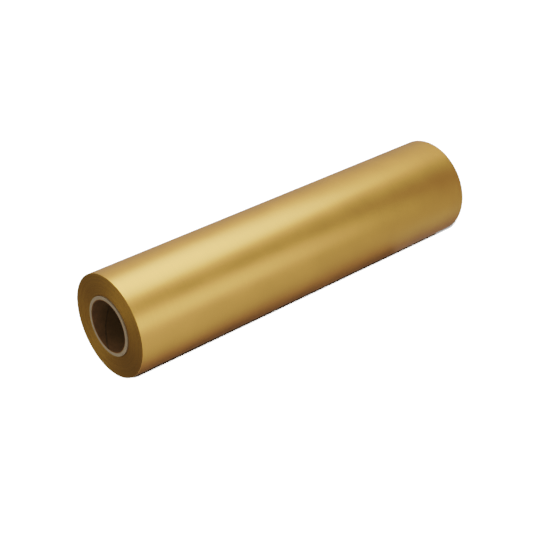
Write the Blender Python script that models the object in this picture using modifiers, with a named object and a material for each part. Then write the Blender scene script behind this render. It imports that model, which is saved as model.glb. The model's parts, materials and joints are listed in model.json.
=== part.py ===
"""Roll of gold sign vinyl on a spirally wound board core, lying on its side.

The roll's axis runs along Y. The origin is on the surface that the roll lies on, under the middle of
the axis. The web is wound outwards as the angle grows from +X towards +Z. Its last stretch, the tail,
is on the upper side towards -X and ends in a free edge, which a short paper tape holds down.

The tail lifts off the roll about TAIL_ROOT, the film's end peels off the tail's liner about PEEL_ROOT,
and the closing tape peels off about TAPE_ROOT. All three axes run along Y.
"""

from math import cos, pi, radians, sin

import bmesh
import bpy
from mathutils import Vector

# Driving dimensions, in metres
WEB_WIDTH = 0.630
ROLL_RADIUS = 0.0757
CORE_BORE_RADIUS = 0.0381
CORE_WALL = 0.0056
CORE_PROTRUSION = 0.00175
CORE_PLIES = 7
CORE_STRIP_WIDTH = 0.110
CORE_SEAM_GAP = 0.0006
CORE_SEAM_STAGGER = 3 / 7
GAP = 0.0003
FILM_THICKNESS = 0.0002
LINER_THICKNESS = 0.00025
START_TAPE_THICKNESS = 0.0002
START_TAPE_INSET = 0.010
CLOSING_TAPE_THICKNESS = 0.0002
CLOSING_TAPE_WIDTH = 0.030

# The round pieces share two sets of corner angles, so that the gaps between them stay even.
WEB_SIDES = 48
CORE_SIDES = 24
WEB_STEP = 360 / WEB_SIDES
BOTTOM = 270

# Angles in degrees about the roll's axis, from +X towards +Z, each on a corner of the web's outline
TAIL_ROOT = 131.25
PEEL_ROOT = TAIL_ROOT + 2 * WEB_STEP
TAIL_END = PEEL_ROOT + 4 * WEB_STEP
TAPE_ROOT = TAIL_END - WEB_STEP
TAPE_END = TAIL_END + 2 * WEB_STEP
START_TAPE_FROM = 3.75
START_TAPE_TO = START_TAPE_FROM + 5 * WEB_STEP

# Where the innermost strip's seam meets the end of the core at -Y, in degrees
CORE_SEAM_ANGLE = 265.0

# Worked out from the driving dimensions
TURN = GAP + LINER_THICKNESS + GAP + FILM_THICKNESS
AXIS_HEIGHT = ROLL_RADIUS
CORE_LENGTH = WEB_WIDTH + 2 * CORE_PROTRUSION
CORE_OUTER_RADIUS = CORE_BORE_RADIUS + CORE_WALL
PLY_THICKNESS = (CORE_WALL - GAP * (CORE_PLIES - 1)) / CORE_PLIES
WEB_HOLE_RADIUS = (CORE_OUTER_RADIUS + GAP) / cos(pi / WEB_SIDES)
BOTTOM_RADIUS = ROLL_RADIUS / cos(pi / WEB_SIDES)
TAPE_LIFT = GAP + CLOSING_TAPE_THICKNESS

KRAFT_BROWN = (0.36, 0.24, 0.13)
BOARD_GREY = (0.42, 0.37, 0.29)
OUTER_PLY_GREY = (0.50, 0.44, 0.34)
TAPE_CLEAR = (0.75, 0.72, 0.62)
WOUND_GOLD = (0.40, 0.29, 0.09)
LINER_AMBER = (0.62, 0.47, 0.24)
FILM_GOLD = (0.62, 0.45, 0.17)
PAPER_CREAM = (0.80, 0.76, 0.66)


def clear_scene():
    for item in list(bpy.data.objects):
        bpy.data.objects.remove(item, do_unlink=True)


def new_collection(name):
    collection = bpy.data.collections.new(name)
    bpy.context.scene.collection.children.link(collection)
    return collection


def material(name, colour, roughness, metallic=0.0):
    made = bpy.data.materials.new(name)
    made.use_nodes = True
    shader = made.node_tree.nodes["Principled BSDF"]
    shader.inputs["Base Color"].default_value = (*colour, 1.0)
    shader.inputs["Roughness"].default_value = roughness
    shader.inputs["Metallic"].default_value = metallic
    made.diffuse_color = (*colour, 1.0)
    return made


def film_outer_radius(angle):
    """The outer side of the outermost film: one turn of the web's spiral, which ends at TAIL_END."""
    return BOTTOM_RADIUS + TURN * (angle - (BOTTOM - 360)) / 360


def film_inner_radius(angle):
    return film_outer_radius(angle) - FILM_THICKNESS


def liner_outer_radius(angle):
    return film_inner_radius(angle) - GAP


def liner_inner_radius(angle):
    return liner_outer_radius(angle) - LINER_THICKNESS


def wound_outer_radius(angle):
    """The outer side of the turn below the outermost one, which the last turn lies on."""
    return liner_inner_radius(angle) - GAP


def section_point(radius, angle):
    """A point of a cross-section: the section's X is the roll's X, and its Y is the roll's height."""
    return Vector((radius * cos(radians(angle)), radius * sin(radians(angle)), 0.0))


def corner_angles(start, end):
    """The outline's corner angles from start to end, both included."""
    count = round((end - start) / WEB_STEP)
    return [start + WEB_STEP * step for step in range(count + 1)]


def shift_along(points, back_off_start, back_off_end):
    """Moves the first and last points of an open line inwards along it, to leave a gap at each end."""
    moved = [point.copy() for point in points]
    if back_off_start:
        moved[0] += (points[1] - points[0]).normalized() * back_off_start
    if back_off_end:
        moved[-1] += (points[-2] - points[-1]).normalized() * back_off_end
    return moved


def strip_outline(start, end, inner, outer, gap_at_start=0.0, gap_at_end=0.0):
    """The closed outline of a bent strip between two angles, with its ends backed off by a gap."""
    angles = corner_angles(start, end)
    inside = [section_point(inner(angle), angle) for angle in angles]
    outside = [section_point(outer(angle), angle) for angle in angles]
    inside = shift_along(inside, gap_at_start, gap_at_end)
    outside = shift_along(outside, gap_at_start, gap_at_end)
    return inside + outside[::-1]


def extrude_sections(name, outlines, length, collection, finish):
    """A 2D curve of closed outlines, extruded along the roll's axis to the given length."""
    curve = bpy.data.curves.new(name, "CURVE")
    curve.dimensions = "2D"
    curve.fill_mode = "BOTH"
    curve.extrude = length / 2
    for outline in outlines:
        spline = curve.splines.new("POLY")
        spline.points.add(len(outline) - 1)
        for corner, point in zip(spline.points, outline):
            corner.co = (point.x, point.y, 0.0, 1.0)
        spline.use_cyclic_u = True
    curve.materials.append(finish)
    made = bpy.data.objects.new(name, curve)
    made.rotation_euler = (pi / 2, 0.0, 0.0)
    made.location = (0.0, 0.0, AXIS_HEIGHT)
    collection.objects.link(made)
    return made


def pivot_point(angle, lift=0.0):
    """A joint's axis: the line along Y at the given angle, on the film's outer side or lifted off it."""
    point = section_point(film_outer_radius(angle) + lift, angle)
    return Vector((point.x, 0.0, point.y + AXIS_HEIGHT))


def pivot_empty(name, location, collection):
    empty = bpy.data.objects.new(name, None)
    empty.empty_display_type = "ARROWS"
    empty.empty_display_size = 0.03
    empty.location = location
    empty.hide_render = True
    collection.objects.link(empty)
    return empty


def hang_from(piece, empty):
    """Parents a piece to its joint's empty, and keeps the piece where it is."""
    bpy.context.view_layer.update()
    piece.parent = empty
    piece.matrix_parent_inverse = empty.matrix_world.inverted()


def core_trim_cutter(collection):
    """A box as long as the finished core, which the core's plies are cut square to."""
    mesh = bpy.data.meshes.new("core_trim")
    shape = bmesh.new()
    bmesh.ops.create_cube(shape, size=1.0)
    side = 4 * CORE_OUTER_RADIUS
    bmesh.ops.scale(shape, vec=(side, CORE_LENGTH, side), verts=shape.verts)
    shape.to_mesh(mesh)
    shape.free()
    cutter = bpy.data.objects.new("core_trim", mesh)
    cutter.location = (0.0, 0.0, AXIS_HEIGHT)
    cutter.display_type = "WIRE"
    cutter.hide_render = True
    collection.objects.link(cutter)
    return cutter


def core_ply(name, index, cutter, collection, finish):
    """One strip of the core, wound in a helix with a butt seam and cut square at both ends.

    A strip of one width covers the tube when its pitch along the axis is its width over the cosine of
    its angle. The seam moves towards -Y as the angle grows. Each ply's seam is staggered from its
    neighbours' seams.
    """
    inner = CORE_BORE_RADIUS + index * (PLY_THICKNESS + GAP)
    around = 2 * pi * (CORE_BORE_RADIUS + CORE_WALL / 2)
    pitch = CORE_STRIP_WIDTH / (1 - (CORE_STRIP_WIDTH / around) ** 2) ** 0.5
    turns = int(CORE_LENGTH / pitch) + 3
    seam = (CORE_SEAM_ANGLE / 360 + index * CORE_SEAM_STAGGER) % 1.0
    low = -CORE_LENGTH / 2 + pitch * (seam - 2.0)

    mesh = bpy.data.meshes.new(name)
    shape = bmesh.new()
    bottom = shape.verts.new((inner, 0.0, low))
    top = shape.verts.new((inner, 0.0, low + pitch - CORE_SEAM_GAP))
    shape.edges.new((top, bottom))
    shape.to_mesh(mesh)
    shape.free()
    mesh.materials.append(finish)
    ply = bpy.data.objects.new(name, mesh)
    ply.rotation_euler = (-pi / 2, 0.0, 0.0)
    ply.location = (0.0, 0.0, AXIS_HEIGHT)
    collection.objects.link(ply)

    screw = ply.modifiers.new("helix", "SCREW")
    screw.axis = "Z"
    screw.angle = 2 * pi
    screw.screw_offset = pitch
    screw.iterations = turns
    screw.steps = CORE_SIDES
    screw.render_steps = CORE_SIDES
    screw.merge_threshold = 0.0
    thickness = ply.modifiers.new("thickness", "SOLIDIFY")
    thickness.thickness = PLY_THICKNESS
    thickness.offset = 1.0
    thickness.use_even_offset = True
    trim = ply.modifiers.new("square_ends", "BOOLEAN")
    trim.operation = "INTERSECT"
    trim.object = cutter
    return ply


def make_core(collection, cutters):
    cutter = core_trim_cutter(cutters)
    kraft = material("core_kraft", KRAFT_BROWN, 0.85)
    board = material("core_board", BOARD_GREY, 0.9)
    outer = material("core_outer_paper", OUTER_PLY_GREY, 0.8)
    core_ply("core_inner_ply", 0, cutter, collection, kraft)
    for index in range(1, CORE_PLIES - 1):
        core_ply(f"core_board_ply_{index}", index, cutter, collection, board)
    core_ply("core_outer_ply", CORE_PLIES - 1, cutter, collection, outer)


def over_start_tape(angle):
    return START_TAPE_FROM - WEB_STEP < angle < START_TAPE_TO + WEB_STEP


def web_hole_radius(angle):
    """The wound web's inner side, which lies on the core and steps over the start tape."""
    if over_start_tape(angle):
        return WEB_HOLE_RADIUS + START_TAPE_THICKNESS + GAP
    return WEB_HOLE_RADIUS


def make_start_tape(collection):
    """The double-sided tape between the core and the web's inner end."""
    finish = material("start_tape", TAPE_CLEAR, 0.4)
    outline = strip_outline(
        START_TAPE_FROM,
        START_TAPE_TO,
        lambda angle: WEB_HOLE_RADIUS,
        lambda angle: WEB_HOLE_RADIUS + START_TAPE_THICKNESS,
    )
    length = WEB_WIDTH - 2 * START_TAPE_INSET
    return extrude_sections("core_start_tape", [outline], length, collection, finish)


def make_wound_web(collection):
    """All the turns of film and liner below the outermost one, as one solid.

    Its outer side is a spiral with one step, at TAIL_END, where the outermost turn starts.
    """
    finish = material("wound_web", WOUND_GOLD, 0.5, 0.6)
    around = corner_angles(TAIL_END - 360, TAIL_END)
    outside = [section_point(wound_outer_radius(angle), angle) for angle in around]
    inside = [section_point(web_hole_radius(angle % 360), angle) for angle in around[:-1]]
    return extrude_sections("wound_web", [outside, inside[::-1]], WEB_WIDTH, collection, finish)


def make_outer_turn(collection):
    """The fixed part of the outermost turn: the liner, and the gold film over it."""
    start = TAIL_END - 360
    liner = strip_outline(
        start, TAIL_ROOT, liner_inner_radius, liner_outer_radius, GAP, GAP / 2
    )
    film = strip_outline(start, TAIL_ROOT, film_inner_radius, film_outer_radius, GAP, GAP / 2)
    amber = material("liner_outer_turn", LINER_AMBER, 0.45)
    gold = material("film_outer_turn", FILM_GOLD, 0.35, 1.0)
    extrude_sections("outer_turn_liner", [liner], WEB_WIDTH, collection, amber)
    extrude_sections("outer_turn_film", [film], WEB_WIDTH, collection, gold)


def make_tail(collection, pivot):
    """The tail that lifts: its liner to the free edge, and its film up to where the film peels."""
    liner = strip_outline(
        TAIL_ROOT, TAIL_END, liner_inner_radius, liner_outer_radius, GAP / 2, 0.0
    )
    film = strip_outline(
        TAIL_ROOT, PEEL_ROOT, film_inner_radius, film_outer_radius, GAP / 2, GAP / 2
    )
    amber = material("liner_tail", LINER_AMBER, 0.45)
    gold = material("film_tail", FILM_GOLD, 0.35, 1.0)
    for piece in (
        extrude_sections("tail_liner", [liner], WEB_WIDTH, collection, amber),
        extrude_sections("tail_film", [film], WEB_WIDTH, collection, gold),
    ):
        hang_from(piece, pivot)


def make_film_end(collection, pivot):
    """The end of the film, which peels off the tail's liner."""
    outline = strip_outline(
        PEEL_ROOT, TAIL_END, film_inner_radius, film_outer_radius, GAP / 2, 0.0
    )
    gold = material("film_end", FILM_GOLD, 0.35, 1.0)
    hang_from(extrude_sections("film_end", [outline], WEB_WIDTH, collection, gold), pivot)


def make_closing_tape(collection, pivot):
    """A paper tape that follows the film's end, goes down over its free edge and on over the roll."""
    on_film = corner_angles(TAPE_ROOT, TAIL_END)
    on_roll = corner_angles(TAIL_END, TAPE_END)[1:]
    below = [(film_outer_radius(angle), angle) for angle in on_film]
    below += [(film_outer_radius(angle - 360), angle) for angle in on_roll]
    inside = [section_point(radius + GAP, angle) for radius, angle in below]
    outside = [section_point(radius + TAPE_LIFT, angle) for radius, angle in below]
    outline = inside + outside[::-1]
    paper = material("closing_tape", PAPER_CREAM, 0.7)
    tape = extrude_sections("closing_tape", [outline], CLOSING_TAPE_WIDTH, collection, paper)
    hang_from(tape, pivot)


def main():
    clear_scene()
    roll = new_collection("sign_vinyl_roll")
    cutters = new_collection("cutters")
    tail_pivot = pivot_empty("tail_lift_axis", pivot_point(TAIL_ROOT), roll)
    peel_pivot = pivot_empty("film_peel_axis", pivot_point(PEEL_ROOT), roll)
    tape_pivot = pivot_empty("tape_peel_axis", pivot_point(TAPE_ROOT, TAPE_LIFT), roll)
    hang_from(peel_pivot, tail_pivot)
    hang_from(tape_pivot, peel_pivot)
    make_core(roll, cutters)
    make_start_tape(roll)
    make_wound_web(roll)
    make_outer_turn(roll)
    make_tail(roll, tail_pivot)
    make_film_end(roll, peel_pivot)
    make_closing_tape(roll, tape_pivot)
    bpy.context.view_layer.update()


main()
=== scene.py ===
"""Looks of the gold sign vinyl roll: its wound web, outer turn, tail, closing tape and board core.

Lengths are in metres. Angles are in degrees about the roll's axis, from +X towards +Z, and they grow as
the web winds outwards.
"""

import json
from math import asin, atan2, ceil, cos, degrees, pi, radians, sin, sqrt
from random import Random

import bpy
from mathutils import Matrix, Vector


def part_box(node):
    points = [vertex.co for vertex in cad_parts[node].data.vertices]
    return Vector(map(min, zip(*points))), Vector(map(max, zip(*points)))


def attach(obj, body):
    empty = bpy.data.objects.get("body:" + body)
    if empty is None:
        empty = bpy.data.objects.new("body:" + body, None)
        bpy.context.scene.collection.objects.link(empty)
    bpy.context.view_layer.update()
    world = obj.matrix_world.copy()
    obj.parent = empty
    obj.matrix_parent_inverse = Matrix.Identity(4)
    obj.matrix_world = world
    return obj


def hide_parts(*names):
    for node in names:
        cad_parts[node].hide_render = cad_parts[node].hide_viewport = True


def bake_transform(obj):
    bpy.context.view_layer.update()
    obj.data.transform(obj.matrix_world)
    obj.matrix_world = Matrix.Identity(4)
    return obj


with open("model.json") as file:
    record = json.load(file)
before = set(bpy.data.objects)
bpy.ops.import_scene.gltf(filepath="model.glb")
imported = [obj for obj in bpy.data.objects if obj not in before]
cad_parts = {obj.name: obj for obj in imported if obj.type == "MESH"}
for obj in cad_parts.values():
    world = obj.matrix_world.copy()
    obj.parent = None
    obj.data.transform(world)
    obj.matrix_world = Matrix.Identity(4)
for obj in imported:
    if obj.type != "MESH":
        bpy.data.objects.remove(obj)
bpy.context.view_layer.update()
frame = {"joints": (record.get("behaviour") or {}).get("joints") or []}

# Places and radii, read from the frame
AXIS_HEIGHT = sum(corner.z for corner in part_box("core_inner_ply")) / 2
ROLL_RADIUS = AXIS_HEIGHT
WEB_NEAR, WEB_FAR = (corner.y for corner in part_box("wound_web"))
CORE_NEAR, CORE_FAR = (corner.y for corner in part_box("core_inner_ply"))
CORE_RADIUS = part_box("core_outer_ply")[1].x
TAPE_NEAR, TAPE_FAR = (corner.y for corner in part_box("closing_tape"))

# Real thicknesses of the web and the tapes, and the fine gaps that keep them apart
FILM = 0.00009
LINER = 0.00015
WEB = FILM + LINER
CLOSING_TAPE = 0.00012
START_TAPE = 0.00008
FILM_GAP = 0.000002
TURN_GAP = 0.000004
CLOSING_TAPE_GAP = 0.000015
START_TAPE_GAP = 0.00002

# The core's strips: their plies, their width, the glue between them, their trimmed ends, and the band along
# their edges that is darkened as glue stain and painted seam shade
BORE_RADIUS = 0.0381
CORE_PLIES = 7
CORE_STRIP = 0.110
PLY_JOINT = 0.00002
PLY_TRIM = 0.00006
EDGE_STAIN_AND_SHADE_WIDTH = 0.002

# The seam between a strip's turns: its width, the angle at which the bore's seam meets the near end, and
# how far each ply's seam is turned on from the last, as a share of a turn
SEAM_WIDTH = 0.0004
SEAM_ANGLE = 265
SEAM_STAGGER = 3 / 7

# A strip's length round the middle of the wall, and its pitch and its width along the core
STRIP_AROUND = pi * (BORE_RADIUS + CORE_RADIUS)
STRIP_PITCH = CORE_STRIP / sqrt(1 - (CORE_STRIP / STRIP_AROUND) ** 2)
STRIP_ACROSS = STRIP_PITCH - SEAM_WIDTH

# The roll's thickness error: bands as (share, radians per metre, phase), lobes round it as (share, lobes
# in a turn, phase in degrees), and the radians per metre at which the lobes come and go along the roll
GAUGE_ERROR = 0.000012
GAUGE_BANDS = ((0.6, 41, 0.7), (0.4, 93, 2.1), (0.25, 171, 0.0))
GAUGE_LOBES = ((0.5, 2, 40), (0.3, 3, 110))
LOBE_CHANGE = 9

# The steps between turns at the web's two ends: slow waves, with the ranges of their lengths in turns and
# of their shares of the wave size, and a random wander, which keeps most of its last value at each step
END_SEEDS = (5, 11)
END_WAVES = 7
END_WAVE_TURNS = (4, 40)
END_WAVE_SHARES = (0.3, 1.0)
END_WAVE_SIZE = 0.0000275
END_WANDER_SIZE = 0.000018
END_WANDER_KEPT = 0.985
END_WANDER_STEP = 0.16

# How far the tail's free edge stands off the roll, the share that the tape leaves of it, and where along
# the roll the tape's hold starts to fade, as a share of its half width, and over what length
TAIL_STANDOFF = 0.00032
TAIL_HELD = 0.15
HOLD_START = 0.8
HOLD_FADE = 0.12

# How far a sheet starts before its joint, and the angle past the joint at which bend_piece finds its end
# point, in degrees
BEND_LEAD = 0.5
BEND = 13.0

# The closing tape's step down off the film's free edge, and the teeth of its saw-cut ends
TAPE_STEP_DOWN = 0.0015
SAW_TOOTH = 0.0006
SAW_ROW = 0.00075

# How finely shapes are cut round the roll, in degrees, and along it
SHEET_STEP = 1.875
BEND_STEP = 0.9375
WOUND_STEP = 3.0
CORE_STEP = 3.0
TAPE_STEP = 0.9
ROW = 0.0105
START_TAPE_ROW = 0.1

# Edges that turn by more than this are shown sharp
SHARP = 40
WOUND_SHARP = 60

BLACK = (0.0, 0.0, 0.0)
WHITE = (1.0, 1.0, 1.0)

# The studio's broad light: an even part, and soft patches as (direction towards the patch, colour)
EVEN_LIGHT = (0.100, 0.102, 0.074)
LIGHT_PATCHES = {
    "right_low": ((1.0, -0.3, -0.6), (0.90, 0.89, 0.99)),
    "left": ((-1.0, 0.35, 0.4), (0.41, 0.42, 0.46)),
    "ceiling": ((0.0, -0.2, 1.0), (0.71, 0.72, 0.76)),
    "near": ((-0.18, -1.0, -0.04), (0.47, 0.46, 0.46)),
}

# What the camera sees beyond the floor
BACKDROP_WHITE = (3.0, 3.0, 3.0)

# Soft lights on the roll alone, as (place, size, power, colour). The boxes face the roll's middle, and
# the card lies under its far end and faces up.
SOFTBOXES = {
    "overhead": ((-0.128, 0.228, 1.032), (0.84, 0.87), 3.82, (1.0, 0.95, 0.93)),
    "near_end": ((-0.25, -1.40, 0.17), (0.76, 0.62), 2.8, WHITE),
    "far_end": ((-0.15, 1.45, 0.20), (0.60, 0.60), 1.5, WHITE),
    "right": ((0.947, 0.110, 0.385), (1.12, 0.54), 2.03, (0.99, 0.99, 1.0)),
}
FAR_CARD = ((0.07, 0.335, 0.003), (0.19, 0.27), 0.020, (0.54, 0.68, 1.0))

# Distant lights on the floor alone, as (direction towards the light, power, spread in degrees). The floor
# is grey and strongly lit, so it shows plain white. The fill comes from behind, and so it makes the shadow
# behind the roll pale but leaves the thin line of shadow in front of it dark.
FLOOR_LIGHTS = {
    "floor_light": ((2.0, -2.2, 2.05), 112.0, 3),
    "floor_fill": ((-2.0, 1.2, 2.6), 10.5, 90),
}

# Half the floor's side, and its colour
FLOOR_HALF = 40.0
FLOOR_GREY = (0.13, 0.13, 0.13, 1.0)

# The camera: its place, its angle down from level, its turn from +Y towards -X, and its sensor's width
# and its focal length in millimetres
CAMERA_PLACE = (1.2156, -1.1004, 1.0177)
CAMERA_DOWN = 30.66
CAMERA_TURN = 48.71
SENSOR_WIDTH = 36.0
LENS = 85.85

# The camera's response to light: (share of the white level, brightness), before the display's encoding
WHITE_LEVEL = 2.4
RESPONSE = (
    (0.0, 0.0),
    (0.02, 0.033),
    (0.045, 0.112),
    (0.11, 0.322),
    (0.28, 0.605),
    (0.58, 0.785),
    (1.0, 1.0),
)


def joint_angle(name):
    """The angle about the roll's axis at which a joint's own axis lies."""
    x, _, z = next(joint["pos_m"] for joint in frame["joints"] if joint["name"] == name)
    return degrees(atan2(z - AXIS_HEIGHT, x)) % 360


def low_edge_angle(node):
    """The angle, on the roll's -X side, of a node's lowest edge."""
    return 180 - degrees(asin((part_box(node)[0].z - AXIS_HEIGHT) / ROLL_RADIUS))


TAIL_ROOT = joint_angle("tail_lift")
PEEL_ROOT = joint_angle("film_peel")
TAPE_ROOT = joint_angle("tape_peel")
TAIL_START = TAIL_ROOT - BEND_LEAD
FILM_END_START = PEEL_ROOT - BEND_LEAD
TAIL_END = low_edge_angle("film_end")
TAPE_END = low_edge_angle("closing_tape")


def web_radius(angle):
    """The outer side of the web, which is a spiral and touches the floor at the outer turn's bottom."""
    return ROLL_RADIUS + WEB * (angle + 90) / 360


def place(radius, angle, y):
    """The point at a radius and an angle about the roll's axis."""
    turn = radians(angle)
    return (radius * cos(turn), y, AXIS_HEIGHT + radius * sin(turn))


def steps_between(start, end, step):
    """Evenly spaced values from start to end, both included, about a step apart or less."""
    count = max(1, ceil((end - start) / step - 0.001))
    return [start + (end - start) * index / count for index in range(count + 1)]


def smooth(value):
    """Rises smoothly from 0 to 1 as the value does, and stays level outside."""
    value = min(1.0, max(0.0, value))
    return value * value * (3 - 2 * value)


def gauge_error(angle, y):
    """The roll's slight bands of thickness along its length, and its faint out-of-roundness."""
    bands = sum(share * sin(y * rate + phase) for share, rate, phase in GAUGE_BANDS)
    lobes = sum(share * sin(radians(angle * count + phase)) for share, count, phase in GAUGE_LOBES)
    return GAUGE_ERROR * (bands + lobes * cos(y * LOBE_CHANGE))


def tail_lift(angle, y):
    """How far the tail stands off the roll near its free edge, and less so near the tape that holds it."""
    along = smooth((angle - PEEL_ROOT) / (TAIL_END - PEEL_ROOT))
    from_tape = smooth((abs(y) - TAPE_FAR * HOLD_START) / HOLD_FADE)
    return TAIL_STANDOFF * along**2 * (TAIL_HELD + (1 - TAIL_HELD) * from_tape)


# Materials


def new_material(name):
    material = bpy.data.materials.new(name)
    material.use_nodes = True
    tree = material.node_tree
    return material, tree, tree.nodes["Principled BSDF"]


def connect(tree, node, **inputs):
    """Gives inputs their values, or links sockets to them. A name such as i1 is an input's number."""
    for key, value in inputs.items():
        numbered = key[0] == "i" and key[1:].isdigit()
        socket = node.inputs[int(key[1:]) if numbered else key.replace("_", " ")]
        if isinstance(value, bpy.types.NodeSocket):
            tree.links.new(value, socket)
        else:
            socket.default_value = value


def add(tree, kind, settings=None, **inputs):
    """Adds a node, with its settings and its inputs."""
    made = tree.nodes.new(kind)
    for key, value in (settings or {}).items():
        setattr(made, key, value)
    connect(tree, made, **inputs)
    return made


def arithmetic(tree, operation, first, second):
    return add(tree, "ShaderNodeMath", {"operation": operation}, i0=first, i1=second).outputs[0]


def vector_math(tree, operation, **inputs):
    return add(tree, "ShaderNodeVectorMath", {"operation": operation}, **inputs)


def stretched(tree, vector, scale):
    """Texture coordinates scaled per axis."""
    return vector_math(tree, "MULTIPLY", i0=vector, i1=scale).outputs[0]


def shaded(tree, colour, shade):
    """A colour made lighter or darker by a factor."""
    return vector_math(tree, "SCALE", i0=colour, Scale=shade).outputs[0]


def component(tree, vector, axis):
    return add(tree, "ShaderNodeSeparateXYZ", Vector=vector).outputs[axis]


def noise(tree, vector, scale, detail, rough):
    node = add(tree, "ShaderNodeTexNoise", Vector=vector, Scale=scale, Detail=detail, Roughness=rough)
    return node.outputs["Fac"]


def ramp(tree, factor, *stops):
    """A colour ramp through (position, (r, g, b)) stops."""
    node = add(tree, "ShaderNodeValToRGB", Fac=factor)
    ends = node.color_ramp.elements
    while len(ends) < len(stops):
        ends.new(0.5)
    for end, (position, colour) in zip(ends, stops):
        end.position = position
        end.color = (*colour, 1.0)
    return node.outputs["Color"]


def spread(tree, factor, low, high, from_low=0.3, from_high=0.7):
    """Maps a range, or else a texture's middle range, to low..high."""
    node = add(tree, "ShaderNodeMapRange", Value=factor)
    for key, value in zip(("From Min", "From Max", "To Min", "To Max"), (from_low, from_high, low, high)):
        node.inputs[key].default_value = value
    return node.outputs["Result"]


def mixed(tree, factor, first, second, blend="MIX"):
    """A mix of two colours, each a socket or (r, g, b)."""
    first, second = (
        colour if isinstance(colour, bpy.types.NodeSocket) else (*colour, 1.0) for colour in (first, second)
    )
    settings = {"data_type": "RGBA", "blend_type": blend}
    return add(tree, "ShaderNodeMix", settings, i0=factor, i6=first, i7=second).outputs[2]


def bumped(tree, height, distance, strength, under=None):
    """A bump, over another bump's normal where one is given."""
    node = add(tree, "ShaderNodeBump", Height=height, Distance=distance, Strength=strength)
    if under is not None:
        connect(tree, node, Normal=under)
    return node.outputs["Normal"]


def web_coordinates(tree):
    """Metres along the web and across it, kept in each sheet's own UV map."""
    return add(tree, "ShaderNodeUVMap", {"uv_map": "web"}).outputs["UV"]


def object_coordinates(tree):
    return add(tree, "ShaderNodeTexCoord").outputs["Object"]


def gold_film():
    """Satin metallic gold vinyl: fine flake under a clear, faintly lined and orange-peeled face."""
    material, tree, shader = new_material("gold_film")
    web = web_coordinates(tree)
    flake = noise(tree, web, 5200, 2.0, 0.7)
    cloud = noise(tree, web, 14, 3.0, 0.5)
    lines = noise(tree, stretched(tree, web, (6.0, 900.0, 1.0)), 1.0, 3.0, 0.6)
    colour = ramp(tree, flake, (0.30, (0.730, 0.405, 0.136)), (0.72, (0.820, 0.470, 0.168)))
    tone = spread(tree, cloud, 0.965, 1.035)
    streak = spread(tree, lines, 0.975, 1.025)
    peel = bumped(tree, noise(tree, web, 420, 2.0, 0.5), 0.000012, 0.5)
    grain = bumped(tree, flake, 0.000004, 0.6, under=peel)
    connect(
        tree,
        shader,
        Base_Color=shaded(tree, colour, arithmetic(tree, "MULTIPLY", tone, streak)),
        Roughness=arithmetic(tree, "ADD", spread(tree, cloud, 0.38, 0.42), spread(tree, flake, -0.02, 0.02)),
        Normal=bumped(tree, lines, 0.000004, 0.5, under=grain),
        Metallic=1.0,
        Specular_Tint=(0.74, 0.68, 0.82, 1.0),
        Coat_Weight=0.05,
        Coat_Roughness=0.30,
        Coat_IOR=1.45,
    )
    return material


def web_edges():
    """The wound web's end: gold film edges between amber liner edges, turn after turn.

    On the web's end, the UV map holds the turn and the place across its thickness, liner first. The fine
    grooves round the axis show as anisotropic gloss, and a painted shade makes the end darker towards the
    floor and paler towards the top.
    """
    material, tree, shader = new_material("web_edges")
    web = web_coordinates(tree)
    point = object_coordinates(tree)
    rings = noise(tree, stretched(tree, web, (0.11, 0.0, 1.0)), 1.0, 4.0, 0.65)
    flecks = noise(tree, point, 2600, 2.0, 0.6)
    across = component(tree, web, 1)
    film_part = ramp(tree, across, (LINER / WEB - 0.025, BLACK), (LINER / WEB + 0.035, WHITE))
    liner_colour = ramp(tree, flecks, (0.3, (0.230, 0.141, 0.034)), (0.7, (0.280, 0.173, 0.044)))
    film_colour = ramp(tree, flecks, (0.3, (0.315, 0.196, 0.050)), (0.7, (0.385, 0.241, 0.064)))
    colour = mixed(tree, film_part, liner_colour, film_colour)
    # Painted shade: the end's colour grows darker towards the floor and paler towards the top
    painted_floor_shade = spread(tree, component(tree, point, 2), 0.91, 1.09, 0.01, 0.14)
    grooves = bumped(tree, film_part, 0.00002, 0.5)
    around = add(tree, "ShaderNodeTangent", {"direction_type": "RADIAL", "axis": "Y"})
    connect(
        tree,
        shader,
        Base_Color=shaded(tree, colour, arithmetic(tree, "MULTIPLY", spread(tree, rings, 0.86, 1.14), painted_floor_shade)),
        Roughness=spread(tree, flecks, 0.44, 0.56),
        Metallic=spread(tree, film_part, 0.80, 0.95, 0.0, 1.0),
        Specular_Tint=(0.80, 0.70, 0.60, 1.0),
        Anisotropic=0.62,
        Anisotropic_Rotation=0.25,
        Tangent=around.outputs["Tangent"],
        Normal=bumped(tree, flecks, 0.00002, 0.5, under=grooves),
    )
    return material


def liner_paper():
    """Amber glassine release paper, dense and slightly glossy, with faint fibre clouds."""
    material, tree, shader = new_material("liner_paper")
    web = web_coordinates(tree)
    cloud = noise(tree, web, 160, 5.0, 0.7)
    fibre = noise(tree, stretched(tree, web, (900.0, 2600.0, 1.0)), 1.0, 3.0, 0.6)
    colour = ramp(tree, cloud, (0.3, (0.520, 0.350, 0.130)), (0.7, (0.610, 0.430, 0.180)))
    connect(
        tree,
        shader,
        Base_Color=mixed(tree, spread(tree, fibre, 0.0, 0.25), colour, (0.70, 0.54, 0.28)),
        Roughness=spread(tree, cloud, 0.34, 0.46),
        Normal=bumped(tree, fibre, 0.00001, 0.5),
    )
    return material


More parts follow.
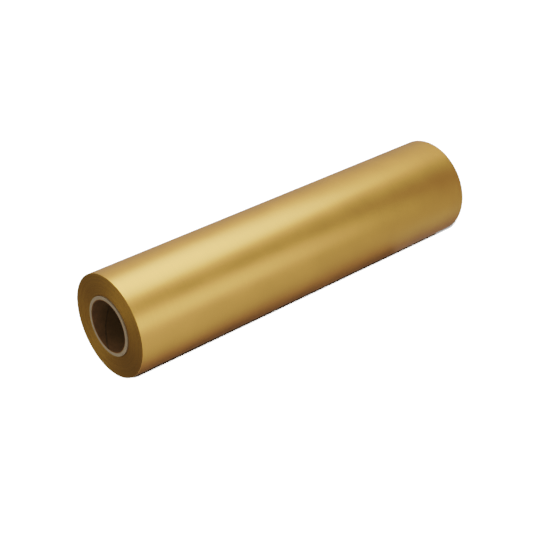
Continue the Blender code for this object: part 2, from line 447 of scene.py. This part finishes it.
def crepe_paper():
    """Cream crepe paper tape: fine crinkles across its length and mottled saturation."""
    material, tree, shader = new_material("crepe_paper")
    web = web_coordinates(tree)
    crinkle = noise(tree, stretched(tree, web, (1500.0, 160.0, 1.0)), 1.0, 3.0, 0.6)
    mottle = noise(tree, web, 300, 4.0, 0.6)
    colour = ramp(tree, mottle, (0.3, (0.640, 0.560, 0.390)), (0.7, (0.730, 0.655, 0.490)))
    connect(
        tree,
        shader,
        Base_Color=mixed(tree, spread(tree, crinkle, 0.0, 0.35), colour, (0.50, 0.42, 0.27)),
        Roughness=spread(tree, mottle, 0.62, 0.78),
        Normal=bumped(tree, crinkle, 0.00008, 0.7),
    )
    return material


def start_tape_clear():
    """Thin double-sided tape with a slightly milky adhesive."""
    material, tree, shader = new_material("start_tape_clear")
    milk = noise(tree, web_coordinates(tree), 220, 3.0, 0.6)
    colour = ramp(tree, milk, (0.3, (0.62, 0.58, 0.46)), (0.7, (0.74, 0.71, 0.60)))
    connect(tree, shader, Base_Color=colour, Roughness=spread(tree, milk, 0.22, 0.34))
    return material


def core_paper(name, dark, light, fibre_size, rough, edge_glue_and_shade_keep=1.0):
    """Paper or board of the core: cloudy pulp, long fibres, dark specks, and darkened strip edges that are
    glue stain and painted seam shade.

    The last argument is the share of colour that the strip's edges keep under glue stain and painted seam
    shade.
    """
    material, tree, shader = new_material(name)
    web = web_coordinates(tree)
    point = object_coordinates(tree)
    cloud = noise(tree, point, 70, 4.0, 0.6)
    fibre = noise(tree, stretched(tree, web, (0.35, 1.0, 1.0)), fibre_size, 4.0, 0.7)
    speck = noise(tree, point, 1900, 2.0, 0.5)
    pulp = ramp(tree, cloud, (0.3, dark), (0.7, light))
    streaked = mixed(tree, spread(tree, fibre, 0.0, 0.45), pulp, tuple(0.62 * part for part in dark))
    specks = ramp(tree, speck, (0.66, WHITE), (0.72, (0.55, 0.50, 0.45)))
    specked = mixed(tree, 1.0, streaked, specks, "MULTIPLY")
    across = component(tree, web, 1)
    to_edge = arithmetic(tree, "MINIMUM", across, arithmetic(tree, "SUBTRACT", STRIP_ACROSS, across))
    # Glue stain and painted shade: the strip's edges are darkened, so that the seam shows as a dark line of
    # shade
    glue_stain_and_seam_shade = ramp(tree, spread(tree, to_edge, 0.0, 1.0, 0.0, EDGE_STAIN_AND_SHADE_WIDTH), (0.2, (edge_glue_and_shade_keep,) * 3), (0.8, WHITE))
    fuzz = bumped(tree, fibre, 0.00006, 0.6)
    connect(
        tree,
        shader,
        Base_Color=mixed(tree, 1.0, specked, glue_stain_and_seam_shade, "MULTIPLY"),
        Roughness=spread(tree, cloud, rough - 0.05, rough + 0.05),
        Normal=bumped(tree, speck, 0.00004, 0.5, under=fuzz),
    )
    return material


# Meshes

# The corners of a grid square, in order round it
SQUARE = ((0, 0), (0, 1), (1, 1), (1, 0))


class Solid:
    """Collects faces between grid cells. Each cell is a tuple of numbers and has one vertex."""

    def __init__(self):
        self.vertices = []
        self.keys = {}
        self.faces = []
        self.uvs = []
        self.slots = []

    def vertex(self, key, point):
        if key not in self.keys:
            self.keys[key] = len(self.vertices)
            self.vertices.append(point)
        return self.keys[key]

    def quad(self, cells, corner, uv, slot=0, flip=False):
        """A face through cells, whose vertices and UVs corner and uv give. flip turns it over.

        A corner that repeats is skipped, so a face may have three corners, or be left out.
        """
        corners = [corner(*cell) for cell in cells]
        uvs = [uv(*cell) for cell in cells]
        if flip:
            corners.reverse()
            uvs.reverse()
        kept = [i for i in range(len(corners)) if corners[i] != corners[i - 1]]
        if len(kept) < 3:
            return
        self.faces.append([corners[i] for i in kept])
        self.uvs.extend(uvs[i] for i in kept)
        self.slots.append(slot)

    def build(self, name, materials, sharp=SHARP):
        """A smooth-shaded mesh object with a UV per face corner in the map named web."""
        mesh = bpy.data.meshes.new(name)
        mesh.from_pydata(self.vertices, [], self.faces)
        layer = mesh.uv_layers.new(name="web")
        for corner, uv in zip(layer.data, self.uvs):
            corner.uv = uv
        for material in materials:
            mesh.materials.append(material)
        mesh.polygons.foreach_set("material_index", self.slots)
        mesh.shade_smooth()
        mesh.set_sharp_from_angle(angle=radians(sharp))
        mesh.validate()
        made = bpy.data.objects.new(name, mesh)
        bpy.context.scene.collection.objects.link(made)
        return made


def sheet(name, angles, rows, inner, outer, materials, lift=None, ragged=None):
    """A thin bent sheet between two radii, as a closed solid.

    materials are those of the outer side, the inner side and the cut edges. lift moves both sides
    outwards, and ragged shifts the two ends along the sheet.
    """
    solid = Solid()
    last, end = len(angles) - 1, len(rows) - 1

    def corner(side, column, row):
        """A vertex on the inner side (0) or outer side (1)."""
        angle, y = angles[column], rows[row]
        if ragged and column in (0, last):
            angle += ragged(column == last, row)
        off = gauge_error(angle, y) + (lift(angle, y) if lift else 0.0)
        radius = (outer if side else inner)(angle) + off
        return solid.vertex((side, column, row), place(radius, angle, y))

    def uv(side, column, row):
        return (radians(angles[column]) * ROLL_RADIUS, rows[row])

    for column in range(last):
        for row in range(end):
            for side, slot in ((1, 0), (0, 1)):
                cells = [(side, column + a, row + b) for a, b in SQUARE]
                solid.quad(cells, corner, uv, slot, flip=side == 0)
    for column in range(last):
        for row in (0, end):
            solid.quad([(b, column + a, row) for a, b in SQUARE], corner, uv, 2, flip=row == end)
    for row in range(end):
        for column in (0, last):
            solid.quad([(a, column, row + b) for a, b in SQUARE], corner, uv, 2, flip=column == last)
    return solid.build(name, materials)


def film_inner(angle):
    return web_radius(angle) - FILM


def liner_outer(angle):
    return web_radius(angle) - FILM - FILM_GAP


def liner_inner(angle):
    return web_radius(angle) - WEB + TURN_GAP


def end_offsets(count, per_turn, seed):
    """How far each step of the wound web's end stands out: slow waves, and a small random wander."""
    random = Random(seed)
    waves = [
        (random.uniform(*END_WAVE_TURNS), random.uniform(0, 2 * pi), random.uniform(*END_WAVE_SHARES))
        for _ in range(END_WAVES)
    ]
    wander, offsets = 0.0, []
    for index in range(count + 1):
        turn = index / per_turn
        slow = sum(share * sin(turn * 2 * pi / length + phase) for length, phase, share in waves)
        wander = END_WANDER_KEPT * wander + random.gauss(0, END_WANDER_STEP)
        offsets.append(END_WAVE_SIZE * slow + END_WANDER_SIZE * wander)
    return offsets


def wound_web(materials):
    """All the turns below the outer one, as a closed solid whose ends are terraced turn by turn.

    materials are those of the outer side, the ends and the inner side.
    """
    per_turn = round(360 / WOUND_STEP)
    outer_end = TAIL_END - 360
    total = (web_radius(outer_end) - WEB - CORE_RADIUS) / WEB * 360
    count = int(total / WOUND_STEP)
    angles = [outer_end - WOUND_STEP * (count - index) for index in range(count + 1)]
    offsets = [end_offsets(count, per_turn, seed) for seed in END_SEEDS]
    solid = Solid()

    def corner(end, side, index):
        """A vertex at the near end (0) or far end (1), on a turn's inner side (0) or outer side (1)."""
        if side == 0 and index in (per_turn, count):
            side, index = 1, index - per_turn
        out = offsets[end][index]
        y = WEB_NEAR - out if end == 0 else WEB_FAR + out
        radius = web_radius(angles[index]) - (0 if side else WEB)
        return solid.vertex((end, side, index), place(radius, angles[index], y))

    def terrace_uv(end, side, index):
        return (index / per_turn, side)

    def riser_uv(end, side, index):
        return ((index if side else index - per_turn) / per_turn, 1)

    def side_uv(end, side, index):
        return (radians(angles[index]) * ROLL_RADIUS, (WEB_FAR - WEB_NEAR) * end)

    def tip_uv(end, side, index):
        return (side, end)

    for end in (0, 1):
        for index in range(count):
            cells = [(end, b, index + a) for a, b in SQUARE]
            solid.quad(cells, corner, terrace_uv, 1, flip=end == 1)
        for index in range(count - per_turn):
            above = index + per_turn
            cells = [(end, 1, index), (end, 0, above), (end, 0, above + 1), (end, 1, index + 1)]
            solid.quad(cells, corner, riser_uv, 1, flip=end == 1)
    for side, first, slot in ((1, count - per_turn, 0), (0, 0, 2)):
        for index in range(first, first + per_turn):
            cells = [(b, side, index + a) for a, b in SQUARE]
            solid.quad(cells, corner, side_uv, slot, flip=side == 0)
    for index in (0, count):
        solid.quad([(b, a, index) for a, b in SQUARE], corner, tip_uv, 1, flip=index == count)
    return solid.build("wound_turns", materials, WOUND_SHARP)


def core_ply(name, index, material):
    """One helical strip of the core, cut square at both ends, with a fine open seam."""
    thickness = (CORE_RADIUS - BORE_RADIUS) / CORE_PLIES
    inner = BORE_RADIUS + index * thickness
    outer = inner + thickness - PLY_JOINT
    random = Random(index)
    near = CORE_NEAR + random.uniform(0.0, PLY_TRIM)
    far = CORE_FAR - random.uniform(0.0, PLY_TRIM)
    low = CORE_NEAR + STRIP_PITCH * (SEAM_ANGLE / 360 + index * SEAM_STAGGER)
    first, last = (near - low - STRIP_ACROSS) / STRIP_PITCH, (far - low) / STRIP_PITCH
    turns = steps_between(first, last, CORE_STEP / 360)
    turns += [(near - low) / STRIP_PITCH, (far - low - STRIP_ACROSS) / STRIP_PITCH]
    turns = sorted(turn for turn in set(turns) if first <= turn <= last)
    solid = Solid()

    def along_core(edge, step):
        """The place along the core of the strip's low edge (0) or high edge (1), cut at both ends."""
        return min(far, max(near, low + STRIP_PITCH * turns[step] + edge * STRIP_ACROSS))

    def corner(side, edge, step):
        """A vertex on the inner side (0) or outer side (1), at the strip's low or high edge."""
        tip = step in (0, len(turns) - 1)
        point = place((inner, outer)[side], turns[step] * -360, along_core(edge, step))
        return solid.vertex((side, 0 if tip else edge, step), point)

    def uv(side, edge, step):
        return (turns[step] * STRIP_AROUND, along_core(edge, step) - STRIP_PITCH * turns[step] - low)

    for step in range(len(turns) - 1):
        for side in (1, 0):
            solid.quad([(side, b, step + a) for a, b in SQUARE], corner, uv, flip=side == 1)
        for edge in (1, 0):
            solid.quad([(1 - b, edge, step + a) for a, b in SQUARE], corner, uv, flip=edge == 1)
    return solid.build(name, [material])


def place_piece(piece, body, node):
    """Rides a piece on its body, in place of the CAD node that it stands for."""
    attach(piece, body)
    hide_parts(node)


def bend_piece(piece, root, node):
    """Bakes a piece's place into its mesh and hides the CAD node that it stands for. It finds points at the
    joint and BEND degrees past it, but bends nothing.
    """
    radius = web_radius(root)
    start, end = (place(radius, angle, 0.0) for angle in (root, root + BEND))
    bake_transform(piece)
    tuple(start)
    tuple(end)
    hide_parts(node)


def make_core():
    """The core's plies, from the bore outwards."""
    # The bore's kraft ply has darkened strip edges: glue stain, and painted shade along its seam
    kraft = core_paper(
        "core_kraft", (0.145, 0.074, 0.019), (0.210, 0.114, 0.032), fibre_size=600, rough=0.74, edge_glue_and_shade_keep=0.72
    )
    board = core_paper(
        "core_board", (0.221, 0.175, 0.114), (0.275, 0.220, 0.149), fibre_size=900, rough=0.85
    )
    paper = core_paper(
        "core_outer_paper", (0.246, 0.196, 0.132), (0.300, 0.242, 0.167), fibre_size=700, rough=0.80
    )
    place_piece(core_ply("core_bore_ply", 0, kraft), "roll", "core_inner_ply")
    for index in range(1, CORE_PLIES - 1):
        piece = core_ply(f"core_greyboard_{index}", index, board)
        place_piece(piece, "roll", f"core_board_ply_{index}")
    piece = core_ply("core_cover_ply", CORE_PLIES - 1, paper)
    place_piece(piece, "roll", "core_outer_ply")


def make_start_tape():
    """The strip of double-sided tape that holds the web's inner end on the core."""
    low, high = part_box("core_start_tape")
    start, end = (degrees(atan2(corner.z - AXIS_HEIGHT, CORE_RADIUS)) for corner in (low, high))
    angles = steps_between(start, end, SHEET_STEP)
    rows = steps_between(low.y, high.y, START_TAPE_ROW)
    under = CORE_RADIUS + START_TAPE_GAP
    clear = [start_tape_clear()] * 3
    piece = sheet("start_tape", angles, rows, lambda angle: under, lambda angle: under + START_TAPE, clear)
    place_piece(piece, "roll", "core_start_tape")


def make_outer_turn(gold, amber, edges):
    rows = steps_between(WEB_NEAR, WEB_FAR, ROW)
    around = steps_between(TAIL_END - 360, TAIL_START, SHEET_STEP)
    film = sheet("outer_film", around, rows, film_inner, web_radius, [gold, gold, edges])
    place_piece(film, "roll", "outer_turn_film")
    liner = sheet("outer_liner", around, rows, liner_inner, liner_outer, [amber] * 3)
    place_piece(liner, "roll", "outer_turn_liner")


def make_tail(gold, amber, edges):
    """The tail's liner, and the film on it in two parts, split at the film's peel joint."""
    rows = steps_between(WEB_NEAR, WEB_FAR, ROW)
    angles = steps_between(TAIL_START, FILM_END_START, BEND_STEP)
    film = sheet("tail_film_face", angles, rows, film_inner, web_radius, [gold, gold, edges], tail_lift)
    bend_piece(film, TAIL_ROOT, "tail_film")
    angles = steps_between(TAIL_START, TAIL_END, BEND_STEP)
    liner = sheet("tail_liner_sheet", angles, rows, liner_inner, liner_outer, [amber] * 3, tail_lift)
    bend_piece(liner, TAIL_ROOT, "tail_liner")
    angles = steps_between(FILM_END_START, TAIL_END, BEND_STEP)
    film = sheet("film_free_end", angles, rows, film_inner, web_radius, [gold, gold, edges], tail_lift)
    bend_piece(film, PEEL_ROOT, "film_end")


def make_closing_tape():
    """A short crepe tape with saw-cut ends, which steps down over the film's free edge."""
    step_angle = degrees(TAPE_STEP_DOWN / ROLL_RADIUS)
    tooth_angle = degrees(SAW_TOOTH / ROLL_RADIUS)

    def past_edge(angle):
        """How much of the step down is done: 0 on the tail, 1 on the turn below."""
        return smooth((angle - TAIL_END) / step_angle)

    def under(angle):
        return web_radius(angle) - WEB * past_edge(angle) + CLOSING_TAPE_GAP

    def over(angle):
        return under(angle) + CLOSING_TAPE

    def lift(angle, y):
        return tail_lift(min(angle, TAIL_END), y) * (1 - past_edge(angle))

    def saw(at_end, row):
        return tooth_angle if at_end == bool(row % 2) else -tooth_angle

    rows = steps_between(TAPE_NEAR, TAPE_FAR, SAW_ROW)
    angles = steps_between(TAPE_ROOT, TAPE_END, TAPE_STEP)
    tape = sheet("closing_paper_tape", angles, rows, under, over, [crepe_paper()] * 3, lift, saw)
    place_piece(tape, "closing_tape", "closing_tape")


def make_roll():
    gold, amber, edges = gold_film(), liner_paper(), web_edges()
    make_core()
    make_start_tape()
    place_piece(wound_web([gold, edges, amber]), "roll", "wound_web")
    make_outer_turn(gold, amber, edges)
    make_tail(gold, amber, edges)
    make_closing_tape()


# The set


def make_floor():
    """A wide plain floor, which neither lights the roll nor shows in it."""
    mesh = bpy.data.meshes.new("floor")
    corners = [(x * FLOOR_HALF, y * FLOOR_HALF, 0) for x, y in ((-1, -1), (1, -1), (1, 1), (-1, 1))]
    mesh.from_pydata(corners, [], [(0, 1, 2, 3)])
    material, tree, shader = new_material("floor")
    connect(tree, shader, Base_Color=FLOOR_GREY, Roughness=0.9, Specular_IOR_Level=0.1)
    mesh.materials.append(material)
    floor = bpy.data.objects.new("floor", mesh)
    floor.visible_glossy = False
    floor.visible_diffuse = False
    bpy.context.scene.collection.objects.link(floor)
    return floor


def make_studio_walls():
    """A world of broad soft light, as pale walls and a ceiling give, behind a plain white backdrop."""
    world = bpy.data.worlds.new("studio")
    bpy.context.scene.world = world
    world.use_nodes = True
    tree = world.node_tree
    seen = add(tree, "ShaderNodeTexCoord").outputs["Generated"]
    light = EVEN_LIGHT
    for toward, colour in LIGHT_PATCHES.values():
        facing = vector_math(tree, "DOT_PRODUCT", i0=seen, i1=Vector(toward).normalized())
        share = arithmetic(tree, "MAXIMUM", facing.outputs["Value"], 0.0)
        share = arithmetic(tree, "MULTIPLY", share, share)
        light = vector_math(tree, "MULTIPLY_ADD", i0=share, i1=colour, i2=light).outputs[0]
    from_camera = add(tree, "ShaderNodeLightPath").outputs["Is Camera Ray"]
    connect(tree, tree.nodes["Background"], Color=mixed(tree, from_camera, light, BACKDROP_WHITE))


def hang_light(name, kind, place_at, aim, power, colour, receivers):
    """A light at a place, aimed at a point, which falls on what the named collection allows."""
    light = bpy.data.lights.new(name, kind)
    light.energy = power
    light.color = colour
    made = bpy.data.objects.new(name, light)
    made.location = place_at
    made.rotation_euler = (Vector(aim) - Vector(place_at)).to_track_quat("-Z", "Y").to_euler()
    made.light_linking.receiver_collection = bpy.data.collections[receivers]
    bpy.context.scene.collection.objects.link(made)
    return made


def floor_light(name, toward, power, angle):
    """A distant light that falls on the floor alone, as a backdrop is lit."""
    made = hang_light(name, "SUN", toward, (0.0, 0.0, 0.0), power, WHITE, "floor_only")
    made.data.angle = radians(angle)
    made.visible_glossy = False


def softbox(name, place_at, size, power, colour, aim, shape="RECTANGLE"):
    """A flat soft light that skips the floor."""
    made = hang_light(name, "AREA", place_at, aim, power, colour, "not_floor")
    made.data.shape = shape
    made.data.size, made.data.size_y = size
    return made


def make_lights(floor):
    bpy.data.collections.new("floor_only").objects.link(floor)
    passed_over = bpy.data.collections.new("not_floor")
    passed_over.objects.link(floor)
    passed_over.collection_objects[0].light_linking.link_state = "EXCLUDE"
    make_studio_walls()
    for name, light in FLOOR_LIGHTS.items():
        floor_light(name, *light)
    for name, box in SOFTBOXES.items():
        softbox(name, *box, aim=(0.0, 0.0, AXIS_HEIGHT))
    x, y, _ = FAR_CARD[0]
    card = softbox("far_card", *FAR_CARD, aim=(x, y, 1.0), shape="ELLIPSE")
    card.visible_camera = False


def make_camera():
    data = bpy.data.cameras.new("camera")
    data.sensor_width = SENSOR_WIDTH
    data.lens = LENS
    camera = bpy.data.objects.new("camera", data)
    camera.location = CAMERA_PLACE
    camera.rotation_euler = (radians(90 - CAMERA_DOWN), 0.0, radians(CAMERA_TURN))
    bpy.context.scene.collection.objects.link(camera)
    bpy.context.scene.camera = camera


def set_response():
    """A photographic tone curve, soft in the highlights and deep in the shadows."""
    view = bpy.context.scene.view_settings
    view.view_transform = "Standard"
    view.use_curve_mapping = True
    mapping = view.curve_mapping
    mapping.white_level = (WHITE_LEVEL,) * 3
    curve = mapping.curves[3]
    for point in RESPONSE[1:-1]:
        curve.points.new(*point)
    mapping.update()


make_camera()
make_roll()
make_lights(make_floor())
set_response()
